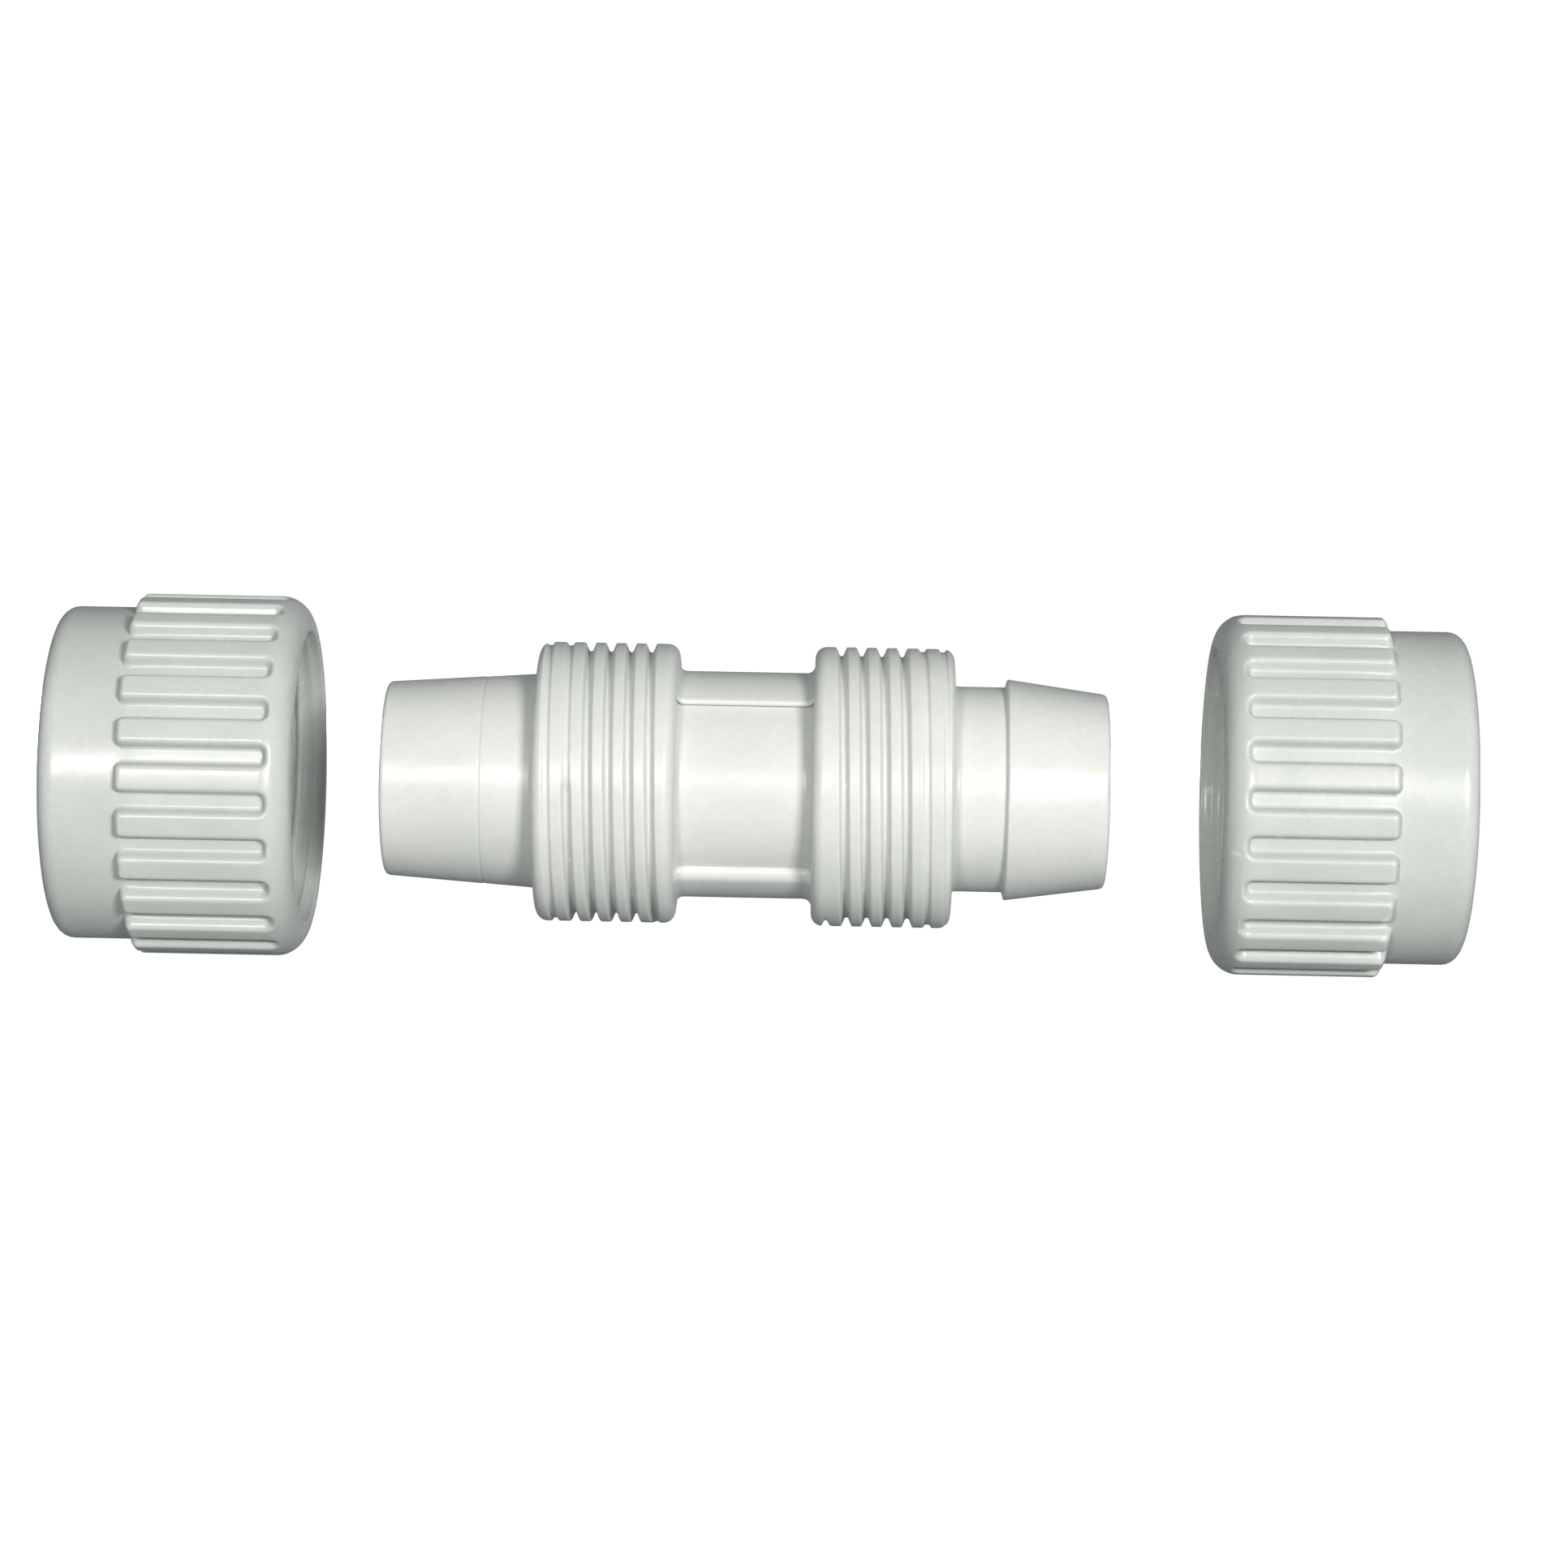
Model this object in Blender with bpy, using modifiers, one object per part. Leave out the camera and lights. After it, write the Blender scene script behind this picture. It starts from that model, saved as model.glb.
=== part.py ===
"""Push fit coupling for plastic tube: a double-ended body and two screw-on nuts.

Each nut carries a split grip ring and a rubber seal ring. The whole set lies in line along X as it
is laid out before fitting: left nut, body, right nut. Millimetre values are given as N * MM.
"""
import math

import bmesh
import bpy

MM = 0.001

# Turned surfaces have this many sides
AROUND = 32
HALF_SIDE = math.pi / AROUND

# Frame: the common axis of all pieces is parallel to X. The nuts stand on flats, one on a rib
# and one across a valley, so their sides are centred on the ground and their corners are higher.
NUT_RADIUS = 11.15 * MM
NUT_CORNER_RADIUS = NUT_RADIUS / math.cos(HALF_SIDE)
AXIS_HEIGHT = NUT_RADIUS

# Lengths along the axis
NUT_LENGTH = 15.3 * MM
LEFT_GAP = 4.9 * MM
RIGHT_GAP = 6.6 * MM
LEFT_SPIGOT_LENGTH = 9.4 * MM
RIGHT_SPIGOT_LENGTH = 9.5 * MM
COLLAR_LENGTH = 8.6 * MM
GRIP_LENGTH = 8.4 * MM

BODY_LENGTH = LEFT_SPIGOT_LENGTH + 2 * COLLAR_LENGTH + GRIP_LENGTH + RIGHT_SPIGOT_LENGTH
TOTAL_LENGTH = 2 * NUT_LENGTH + LEFT_GAP + RIGHT_GAP + BODY_LENGTH

LEFT_NUT_END = -TOTAL_LENGTH / 2
RIGHT_NUT_END = TOTAL_LENGTH / 2
LEFT_TIP = LEFT_NUT_END + NUT_LENGTH + LEFT_GAP
LEFT_STOP = LEFT_TIP + LEFT_SPIGOT_LENGTH
GRIP_START = LEFT_STOP + COLLAR_LENGTH
GRIP_END = GRIP_START + GRIP_LENGTH
RIGHT_STOP = GRIP_END + COLLAR_LENGTH
RIGHT_TIP = RIGHT_STOP + RIGHT_SPIGOT_LENGTH

# Body radii
BORE_RADIUS = 4.5 * MM
TIP_RADIUS = 6.0 * MM
LEFT_SPIGOT_RADIUS = 6.65 * MM
NECK_RADIUS = 6.35 * MM
BARB_RADIUS = 6.85 * MM
NECK_LENGTH = 3.3 * MM
TIP_EDGE = 0.2 * MM
COLLAR_RADIUS = 8.65 * MM
COLLAR_EDGE = 0.7 * MM
RIB_RADIUS = 7.0 * MM
PANEL_RADIUS = 6.4 * MM
PANEL_HALF_HEIGHT = 4.94 * MM
PANEL_MARGIN = 0.2 * MM
PANEL_CUT_OVER = 0.6 * MM

# Thread: right-hand, cut into both collars, with a shallow lead-in out through the tube end
PITCH = 1.25 * MM
FLANK_SLOPE = math.tan(math.radians(22))
ROOT_RADIUS = 8.1 * MM
ROOT_HALF_WIDTH = 0.1 * MM
LEAD_IN_RADIUS = 8.32 * MM
LEAD_IN_HALF_WIDTH = 0.2 * MM
CUTTER_RADIUS = 8.85 * MM
FRONT = math.radians(-90)
BOTTOM = 0.0
LEFT_GROOVE_START = 2.15 * MM
LEFT_GROOVE_TURNS = 4.2
RIGHT_GROOVE_START = 0.98 * MM
RIGHT_GROOVE_TURNS = 4.2
LEAD_IN_TURNS = 2.5
LEAD_IN_OVERLAP = 0.0625

# Nut, measured from its outer end
NUT_SKIRT_RADIUS = 10.3 * MM
SKIRT_EDGE = 1.0 * MM
SKIRT_LENGTH = 4.85 * MM
SHOULDER = 0.85 * MM
RIM_EDGE = 1.8 * MM
TUBE_HOLE_RADIUS = 8.15 * MM
LIP_LENGTH = 1.2 * MM
CONE_START_RADIUS = 8.75 * MM
CHAMBER_RADIUS = 9.15 * MM
CONE_END = 5.2 * MM
CHAMBER_END = 7.6 * MM
NUT_MINOR_RADIUS = 8.38 * MM
NUT_MAJOR_RADIUS = 8.85 * MM
THREAD_END = 14.7 * MM
MOUTH_RADIUS = 9.0 * MM
FLANK_CLEARANCE = 0.12 * MM
NUT_CUT_OVER = 0.15 * MM

# Grip ribs around each nut
RIB_COUNT = 24
VALLEY_FLOOR_RADIUS = 10.4 * MM
VALLEY_FLOOR_WIDTH = 1.1 * MM
VALLEY_TOP_WIDTH = 1.6 * MM
VALLEY_END = 14.0 * MM
VALLEY_CUT_START = 2.5 * MM
LEFT_VALLEY_ANGLE = math.radians(7.5)
RIGHT_VALLEY_ANGLE = math.radians(0)

# Rings inside each nut
RING_GAP = 0.3 * MM
RING_BORE_RADIUS = 8.0 * MM
GRIP_RING_SPLIT = 1.2 * MM
SEAL_LENGTH = 1.8 * MM

# Cutters are longer than what they cut by this factor
SPARE = 2

EDGE_STEPS = 3
SHARP_ANGLE = math.radians(35)
MERGE_DISTANCE = 0.01 * MM


def clear_scene():
    for obj in list(bpy.data.objects):
        bpy.data.objects.remove(obj, do_unlink=True)


def new_collection(name):
    collection = bpy.data.collections.new(name)
    bpy.context.scene.collection.children.link(collection)
    return collection


def plastic(name, color, roughness):
    material = bpy.data.materials.new(name)
    material.use_nodes = True
    shader = material.node_tree.nodes["Principled BSDF"]
    shader.inputs["Base Color"].default_value = (*color, 1.0)
    shader.inputs["Roughness"].default_value = roughness
    shader.inputs["Metallic"].default_value = 0.0
    return material


def arc(radius, axial, size, start, end):
    """Points of a round edge in the (radius, axial) plane, from angle start to end in degrees."""
    points = []
    for i in range(EDGE_STEPS + 1):
        angle = math.radians(start + (end - start) * i / EDGE_STEPS)
        points.append((radius + size * math.cos(angle), axial + size * math.sin(angle)))
    return points


def on_axis(obj):
    """Turns an object made along its own Z so that it points along +X, on the common axis."""
    obj.location = (0, 0, AXIS_HEIGHT)
    obj.rotation_euler = (0, math.radians(90), 0)


def turned(name, profile, collection, material=None, start=0.0):
    """A ring turned about the common axis from a closed profile of (radius, x) points.

    The first corner of its sides is at the start angle.
    """
    mesh = bpy.data.meshes.new(name)
    edges = [(i, (i + 1) % len(profile)) for i in range(len(profile))]
    cosine = math.cos(start)
    sine = math.sin(start)
    mesh.from_pydata([(r * cosine, r * sine, x) for r, x in profile], edges, [])
    obj = bpy.data.objects.new(name, mesh)
    collection.objects.link(obj)
    screw = obj.modifiers.new("turn", "SCREW")
    screw.axis = "Z"
    screw.angle = math.radians(360)
    screw.steps = AROUND
    screw.render_steps = AROUND
    screw.use_merge_vertices = True
    screw.merge_threshold = MERGE_DISTANCE
    if material:
        mesh.materials.append(material)
    on_axis(obj)
    return obj


def mark_cutter(obj):
    obj.hide_render = True
    obj.display_type = "WIRE"
    return obj


def cut(obj, cutter, operation="DIFFERENCE"):
    boolean = obj.modifiers.new(cutter.name, "BOOLEAN")
    boolean.operation = operation
    boolean.solver = "EXACT"
    boolean.object = cutter


def from_bmesh(bm, name, collection):
    bmesh.ops.recalc_face_normals(bm, faces=bm.faces)
    mesh = bpy.data.meshes.new(name)
    bm.to_mesh(mesh)
    bm.free()
    obj = bpy.data.objects.new(name, mesh)
    collection.objects.link(obj)
    return obj


def helical_bar(name, section, angle_at_start, x_at_start, turns, collection, shift=0.5):
    """A bar swept along a right-hand helix. Its section is a list of (radius, offset along X).

    The helix passes x_at_start at angle_at_start. The bar's rings lie that share of a side further
    on, so that none of them falls on an edge of the turned surface that the bar cuts.
    """
    bm = bmesh.new()
    rings = []
    for i in range(round(AROUND * turns) + 1):
        turn = (i + shift) / AROUND
        angle = angle_at_start + 2 * math.pi * turn
        advance = x_at_start + PITCH * turn
        ring = []
        for radius, offset in section:
            spot = (radius * math.cos(angle), radius * math.sin(angle), advance + offset)
            ring.append(bm.verts.new(spot))
        rings.append(ring)
    count = len(section)
    for low, high in zip(rings, rings[1:]):
        for k in range(count):
            bm.faces.new((low[k], low[(k + 1) % count], high[(k + 1) % count], high[k]))
    bm.faces.new(rings[0])
    bm.faces.new(rings[-1])
    obj = from_bmesh(bm, name, collection)
    on_axis(obj)
    return mark_cutter(obj)


def groove_section(inner, outer, half_width_at_inner, slope):
    half_width_at_outer = half_width_at_inner + slope * (outer - inner)
    return [
        (inner, -half_width_at_inner),
        (inner, half_width_at_inner),
        (outer, half_width_at_outer),
        (outer, -half_width_at_outer),
    ]


def add_body_threads(body, cutters):
    """A groove in each collar, and a shallow lead-in that takes it out through the tube end."""
    main = groove_section(ROOT_RADIUS, CUTTER_RADIUS, ROOT_HALF_WIDTH, FLANK_SLOPE)
    lead_in = groove_section(LEAD_IN_RADIUS, CUTTER_RADIUS, LEAD_IN_HALF_WIDTH, FLANK_SLOPE)
    lead_in_turns = LEAD_IN_TURNS + LEAD_IN_OVERLAP

    x = LEFT_STOP + LEFT_GROOVE_START
    cut(body, helical_bar("left_groove", main, FRONT, x, LEFT_GROOVE_TURNS, cutters))
    x -= LEAD_IN_TURNS * PITCH
    angle = FRONT - LEAD_IN_TURNS * 2 * math.pi
    cut(body, helical_bar("left_lead_in", lead_in, angle, x, lead_in_turns, cutters))

    x = GRIP_END + RIGHT_GROOVE_START
    cut(body, helical_bar("right_groove", main, BOTTOM, x, RIGHT_GROOVE_TURNS, cutters))
    turns = RIGHT_GROOVE_TURNS - LEAD_IN_OVERLAP
    x += turns * PITCH
    angle = BOTTOM + turns * 2 * math.pi
    cut(body, helical_bar("right_lead_in", lead_in, angle, x, lead_in_turns, cutters))


def add_grip_panels(body, cutters):
    """Recesses the front and back of the grip, which leaves a rib along its top and bottom."""
    start = GRIP_START + PANEL_MARGIN
    end = GRIP_END - PANEL_MARGIN
    outer = RIB_RADIUS + PANEL_CUT_OVER
    profile = [(outer, end), (outer, start), (PANEL_RADIUS, start), (PANEL_RADIUS, end)]
    ring = mark_cutter(turned("panel_ring", profile, cutters))
    bm = bmesh.new()
    bmesh.ops.create_cube(bm, size=1.0)
    slab = mark_cutter(from_bmesh(bm, "panel_slab", cutters))
    for vertex in slab.data.vertices:
        vertex.co.x *= GRIP_LENGTH * SPARE
        vertex.co.y *= RIB_RADIUS * 2 * SPARE
        vertex.co.z *= PANEL_HALF_HEIGHT * 2
    slab.location = ((start + end) / 2, 0, AXIS_HEIGHT)
    cut(ring, slab, "INTERSECT")
    cut(body, ring)


def make_body(parts, cutters, material):
    profile = [
        (TIP_RADIUS - TIP_EDGE, RIGHT_TIP),
        (TIP_RADIUS, RIGHT_TIP - TIP_EDGE),
        (BARB_RADIUS, RIGHT_STOP + NECK_LENGTH),
        (NECK_RADIUS, RIGHT_STOP + NECK_LENGTH - TIP_EDGE),
        (NECK_RADIUS, RIGHT_STOP),
    ]
    edge_center = COLLAR_RADIUS - COLLAR_EDGE
    profile += arc(edge_center, RIGHT_STOP - COLLAR_EDGE, COLLAR_EDGE, 90, 0)
    profile += arc(edge_center, GRIP_END + COLLAR_EDGE, COLLAR_EDGE, 0, -90)
    profile += [(RIB_RADIUS, GRIP_END), (RIB_RADIUS, GRIP_START)]
    profile += arc(edge_center, GRIP_START - COLLAR_EDGE, COLLAR_EDGE, 90, 0)
    profile += arc(edge_center, LEFT_STOP + COLLAR_EDGE, COLLAR_EDGE, 0, -90)
    profile += [
        (LEFT_SPIGOT_RADIUS, LEFT_STOP),
        (TIP_RADIUS, LEFT_TIP + TIP_EDGE),
        (TIP_RADIUS - TIP_EDGE, LEFT_TIP),
        (BORE_RADIUS + TIP_EDGE, LEFT_TIP),
        (BORE_RADIUS, LEFT_TIP + TIP_EDGE),
        (BORE_RADIUS, RIGHT_TIP - TIP_EDGE),
        (BORE_RADIUS + TIP_EDGE, RIGHT_TIP),
    ]
    body = turned("coupling_body", profile, parts, material)
    add_grip_panels(body, cutters)
    add_body_threads(body, cutters)
    return body


def placed(profile, end, direction):
    """Puts a (radius, distance from the nut's outer end) profile at x = end, running inwards."""
    points = [(radius, end + direction * distance) for radius, distance in profile]
    return points if direction < 0 else points[::-1]


def nut_profile():
    """The nut's section from its outer end to its mouth along the outside, and back inside."""
    rim_center = NUT_CORNER_RADIUS - RIM_EDGE
    profile = [(NUT_SKIRT_RADIUS - SKIRT_EDGE, 0)]
    profile += arc(NUT_SKIRT_RADIUS - SKIRT_EDGE, SKIRT_EDGE, SKIRT_EDGE, -90, 0)[1:]
    profile += [(NUT_SKIRT_RADIUS, SKIRT_LENGTH)]
    profile += arc(NUT_CORNER_RADIUS - SHOULDER, SKIRT_LENGTH + SHOULDER, SHOULDER, -60, 0)
    profile += arc(rim_center, NUT_LENGTH - RIM_EDGE, RIM_EDGE, 0, 90)
    profile += [
        (MOUTH_RADIUS, NUT_LENGTH),
        (MOUTH_RADIUS, THREAD_END),
        (NUT_MINOR_RADIUS, THREAD_END),
        (NUT_MINOR_RADIUS, CHAMBER_END),
        (CHAMBER_RADIUS, CHAMBER_END),
        (CHAMBER_RADIUS, CONE_END),
        (CONE_START_RADIUS, LIP_LENGTH),
        (TUBE_HOLE_RADIUS, LIP_LENGTH),
        (TUBE_HOLE_RADIUS, 0),
    ]
    return profile


def valley_cutters(name, end, direction, first_angle, collection):
    """One tapered bar for each valley between the grip ribs, around the whole nut."""
    bm = bmesh.new()
    start = VALLEY_CUT_START
    length = VALLEY_END - start
    middle = end + direction * (start + VALLEY_END) / 2
    height = 2 * (NUT_RADIUS - VALLEY_FLOOR_RADIUS)
    for i in range(RIB_COUNT):
        angle = first_angle + 2 * math.pi * i / RIB_COUNT
        made = bmesh.ops.create_cube(bm, size=1.0)
        for vertex in made["verts"]:
            low = vertex.co.x < 0
            width = VALLEY_FLOOR_WIDTH if low else 2 * VALLEY_TOP_WIDTH - VALLEY_FLOOR_WIDTH
            radius = VALLEY_FLOOR_RADIUS + (0 if low else height)
            side = vertex.co.y * width
            vertex.co.x = radius * math.cos(angle) - side * math.sin(angle)
            vertex.co.y = radius * math.sin(angle) + side * math.cos(angle)
            vertex.co.z = middle + vertex.co.z * length
    obj = from_bmesh(bm, name, collection)
    on_axis(obj)
    return mark_cutter(obj)


def make_nut(side, end, direction, groove_x, groove_angle, valley_angle, parts, cutters, material):
    """A nut with its outer end at x = end. Its thread fits a body groove that passes the given spot."""
    profile = placed(nut_profile(), end, direction)
    nut = turned(side + "_nut", profile, parts, material, start=HALF_SIDE)
    cut(nut, valley_cutters(side + "_valleys", end, direction, FRONT + valley_angle, cutters))

    crest_half_width = PITCH / 2 - ROOT_HALF_WIDTH - FLANK_SLOPE * (COLLAR_RADIUS - ROOT_RADIUS)
    floor_half_width = (
        crest_half_width + FLANK_CLEARANCE - FLANK_SLOPE * (NUT_MAJOR_RADIUS - COLLAR_RADIUS)
    )
    inner = NUT_MINOR_RADIUS - NUT_CUT_OVER
    inner_half_width = floor_half_width + FLANK_SLOPE * (NUT_MAJOR_RADIUS - inner)
    section = groove_section(inner, NUT_MAJOR_RADIUS, inner_half_width, -FLANK_SLOPE)
    low_x = min(end + direction * CHAMBER_END, end + direction * THREAD_END) - PITCH
    whole_turns = math.floor((low_x - groove_x) / PITCH - 0.5)
    start_x = groove_x + (whole_turns + 0.5) * PITCH
    turns = (THREAD_END - CHAMBER_END) / PITCH + 2
    bar = helical_bar(side + "_nut_groove", section, groove_angle, start_x, turns, cutters, shift=0)
    cut(nut, bar)
    return nut


def make_grip_ring(side, end, direction, parts, cutters, material):
    """The split ring that bites on the tube. Its outside is the cone that the nut squeezes."""
    start = LIP_LENGTH + RING_GAP
    stop = CONE_END
    cone_slope = (CHAMBER_RADIUS - CONE_START_RADIUS) / (CONE_END - LIP_LENGTH)
    start_radius = CONE_START_RADIUS + cone_slope * (start - LIP_LENGTH) - RING_GAP
    stop_radius = CHAMBER_RADIUS - RING_GAP
    profile = [
        (start_radius, start),
        (stop_radius, stop),
        (RING_BORE_RADIUS, stop),
        (RING_BORE_RADIUS, start),
    ]
    ring = turned(side + "_grip_ring", placed(profile, end, direction), parts, material)
    bm = bmesh.new()
    bmesh.ops.create_cube(bm, size=1.0)
    gap = mark_cutter(from_bmesh(bm, side + "_ring_split", cutters))
    for vertex in gap.data.vertices:
        vertex.co.x *= SPARE * CONE_END
        vertex.co.y *= GRIP_RING_SPLIT
        vertex.co.z *= RING_BORE_RADIUS
    gap.location = (end + direction * (start + stop) / 2, 0, AXIS_HEIGHT + RING_BORE_RADIUS)
    cut(ring, gap)
    return ring


def make_seal_ring(side, end, direction, parts, material):
    start = CONE_END + RING_GAP
    stop = start + SEAL_LENGTH
    outer = CHAMBER_RADIUS - RING_GAP
    profile = [(outer, start), (outer, stop), (RING_BORE_RADIUS, stop), (RING_BORE_RADIUS, start)]
    return turned(side + "_seal_ring", placed(profile, end, direction), parts, material)


def shade_round(obj):
    obj.data.shade_smooth()
    obj.data.set_sharp_from_angle(angle=SHARP_ANGLE)


def main():
    clear_scene()
    parts = new_collection("push_fit_coupling")
    cutters = new_collection("cutters")
    acetal = plastic("off_white_acetal", (0.78, 0.80, 0.76), 0.4)
    ring_plastic = plastic("white_ring_plastic", (0.85, 0.85, 0.83), 0.35)
    rubber = plastic("black_rubber", (0.03, 0.03, 0.03), 0.7)

    left_groove = LEFT_STOP + LEFT_GROOVE_START
    right_groove = GRIP_END + RIGHT_GROOVE_START
    pieces = [make_body(parts, cutters, acetal)]
    for side, end, direction, groove_x, groove_angle, valley_angle in (
        ("left", LEFT_NUT_END, 1, left_groove, FRONT, LEFT_VALLEY_ANGLE),
        ("right", RIGHT_NUT_END, -1, right_groove, BOTTOM, RIGHT_VALLEY_ANGLE),
    ):
        pieces.append(
            make_nut(side, end, direction, groove_x, groove_angle, valley_angle, parts, cutters, acetal)
        )
        pieces.append(make_grip_ring(side, end, direction, parts, cutters, ring_plastic))
        pieces.append(make_seal_ring(side, end, direction, parts, rubber))
    for piece in pieces:
        shade_round(piece)


main()
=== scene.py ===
import math

import bpy
import numpy as np
from mathutils import Matrix, Vector


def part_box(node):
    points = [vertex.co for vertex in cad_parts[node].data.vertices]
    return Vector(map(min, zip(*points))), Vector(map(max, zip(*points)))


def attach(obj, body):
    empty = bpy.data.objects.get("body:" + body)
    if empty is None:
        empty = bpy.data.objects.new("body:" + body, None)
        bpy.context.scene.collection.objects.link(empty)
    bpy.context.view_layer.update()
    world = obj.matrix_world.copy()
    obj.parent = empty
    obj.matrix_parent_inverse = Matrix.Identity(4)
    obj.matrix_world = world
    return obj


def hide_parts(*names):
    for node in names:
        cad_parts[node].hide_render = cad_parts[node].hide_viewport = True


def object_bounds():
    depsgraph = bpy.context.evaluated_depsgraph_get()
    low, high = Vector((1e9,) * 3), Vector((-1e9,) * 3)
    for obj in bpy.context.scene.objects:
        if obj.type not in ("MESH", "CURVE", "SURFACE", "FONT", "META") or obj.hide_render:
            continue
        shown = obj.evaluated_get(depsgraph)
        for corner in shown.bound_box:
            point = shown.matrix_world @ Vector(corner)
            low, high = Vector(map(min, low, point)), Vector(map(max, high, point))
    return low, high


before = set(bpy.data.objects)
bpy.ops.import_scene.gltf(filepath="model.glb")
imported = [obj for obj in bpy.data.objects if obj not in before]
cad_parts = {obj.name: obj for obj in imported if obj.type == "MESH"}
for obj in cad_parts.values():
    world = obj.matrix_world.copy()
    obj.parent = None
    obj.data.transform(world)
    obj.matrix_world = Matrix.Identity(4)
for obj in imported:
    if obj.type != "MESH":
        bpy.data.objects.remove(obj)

MM = 0.001
CAD_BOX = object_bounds()

# Places that come from the frame
AXIS_HEIGHT = (CAD_BOX[0].z + CAD_BOX[1].z) / 2
LEFT_NUT_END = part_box("left_nut")[0].x
RIGHT_NUT_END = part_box("right_nut")[1].x
LEFT_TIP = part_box("coupling_body")[0].x
RIGHT_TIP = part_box("coupling_body")[1].x
NUT_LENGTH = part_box("left_nut")[1].x - LEFT_NUT_END

# Body: each stop is the outer face of a collar
COLLAR_WIDTH = 8.6 * MM
LEFT_STOP = LEFT_TIP + 9.4 * MM
GRIP_START = LEFT_STOP + COLLAR_WIDTH
GRIP_END = GRIP_START + 8.4 * MM
RIGHT_STOP = GRIP_END + COLLAR_WIDTH
TIP_RADIUS = 6.0 * MM
LEFT_ROOT_RADIUS = 6.65 * MM
NECK_RADIUS = 6.35 * MM
BARB_RADIUS = 6.85 * MM
BARB_STEP = RIGHT_STOP + 3.3 * MM
LEFT_MARK = LEFT_TIP + 6.1 * MM
MARK_DEPTH = 0.035 * MM
MARK_HALF_WIDTH = 0.12 * MM
# Weight of the painted shade in the fine mark's groove
MARK_SHADE = 0.7
COLLAR_RADIUS = 8.65 * MM
COLLAR_EDGE = 0.72 * MM
RIB_RADIUS = 7.0 * MM
LOWER_RIB_EDGE = 0.7 * MM
UPPER_RIB_EDGE = 0.2 * MM
PANEL_RADIUS = 6.4 * MM
PANEL_HALF_HEIGHT = 4.95 * MM
PANEL_FILLET = 0.5 * MM
BORE_RADIUS = 4.5 * MM

# Thread
PITCH = 1.25 * MM
FLANK_SLOPE = math.tan(math.radians(22))
ROOT_RADIUS = 8.1 * MM
ROOT_HALF_WIDTH = 0.1 * MM
LEAD_IN_RADIUS = 8.45 * MM
LEAD_IN_HALF_WIDTH = 0.16 * MM
LEAD_IN_TURNS = 2.5
THREAD_ROW = 0.07 * MM
THREAD_BLEND = 0.1 * MM
GROOVE_BLEND = 0.08 * MM
LEAD_IN_FADE_TURNS = 0.02
RUN_OUT_RISE_PER_TURN = 9 * MM
# "out" is the direction along X in which the lead-in leaves the collar
LEFT_THREAD = {"x": LEFT_STOP + 2.15 * MM, "angle": math.radians(-90), "turns": 4.2, "out": -1}
RIGHT_THREAD = {"x": GRIP_END + 0.98 * MM, "angle": 0.0, "turns": 4.2, "out": 1}

# Nut, measured from its outer end
NUT_RADIUS = 11.15 * MM
SKIRT_RADIUS = 10.3 * MM
VALLEY_RADIUS = 10.4 * MM
RIB_COUNT = 24
RIM_EDGE = 1.8 * MM
RIM_START = NUT_LENGTH - RIM_EDGE
VALLEY_RAMP_START = 4.7 * MM
VALLEY_RAMP = 2 * MM
RIB_FOOT = 4.8 * MM
SLOT_END = 13.8 * MM
MOUTH_RADIUS = 9.0 * MM
NUT_GROOVE_RADIUS = 8.85 * MM
NUT_CREST_RADIUS = 8.47 * MM
NUT_CHAMFER_RADIUS = 8.95 * MM
NUT_THREAD_START = 14.7 * MM
NUT_THREAD_END = 7.65 * MM
NUT_THREAD_ROW = 0.1 * MM
# Weight of the painted shade in the nut's thread grooves
NUT_GROOVE_SHADE = 0.6
THREAD_CLEARANCE = 0.12 * MM
CHAMBER_RADIUS = 9.15 * MM
HOLE_RADIUS = 8.15 * MM

# Rings, measured from the nut's outer end
GRIP_RING_START = 1.5 * MM
GRIP_RING_STOP = 5.2 * MM
GRIP_RING_GAP = 1.2 * MM
TOOTH_COUNT = 6
TOOTH_PITCH = 0.56 * MM
SEAL_RING_START = 5.5 * MM
SEAL_RING_STOP = 7.3 * MM
SEAL_INNER_RADIUS = 8.02 * MM
SEAL_OUTER_RADIUS = 8.83 * MM

BODY_COLUMNS = 240
RING_COLUMNS = 160


# ---------------------------------------------------------------- shapes

def smooth_min(a, b, k):
    h = np.clip(0.5 + 0.5 * (b - a) / k, 0, 1)
    return b * (1 - h) + a * h - k * h * (1 - h)


def smooth_max(a, b, k):
    return -smooth_min(-a, -b, k)


def smooth_step(t):
    t = np.clip(t, 0, 1)
    return t * t * (3 - 2 * t)


def rounded(corners, arc_step=15, support=0.07 * MM):
    """The outline through (x, radius, fillet) corners, with an arc at each corner that has a fillet.

    An arc has a point about every arc_step degrees, and one more point past each of its ends.
    """
    points = [tuple(corners[0][:2])]
    for before, corner, after in zip(corners, corners[1:], corners[2:]):
        here = Vector(corner[:2])
        size = corner[2]
        if size == 0:
            points.append(tuple(here))
            continue
        back = (Vector(before[:2]) - here).normalized()
        ahead = (Vector(after[:2]) - here).normalized()
        turn = math.pi - back.angle(ahead)
        reach = size * math.tan(turn / 2)
        start = here + back * reach
        centre = here + (back + ahead).normalized() * size / math.cos(turn / 2)
        side = 1 if back.x * ahead.y - back.y * ahead.x < 0 else -1
        count = max(2, math.ceil(math.degrees(turn) / arc_step))
        points.append(tuple(start + back * support))
        for i in range(count + 1):
            spin = Matrix.Rotation(side * turn * i / count, 2)
            points.append(tuple(centre + spin @ (start - centre)))
        points.append(tuple(here + ahead * (reach + support)))
    points.append(tuple(corners[-1][:2]))
    return points


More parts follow.
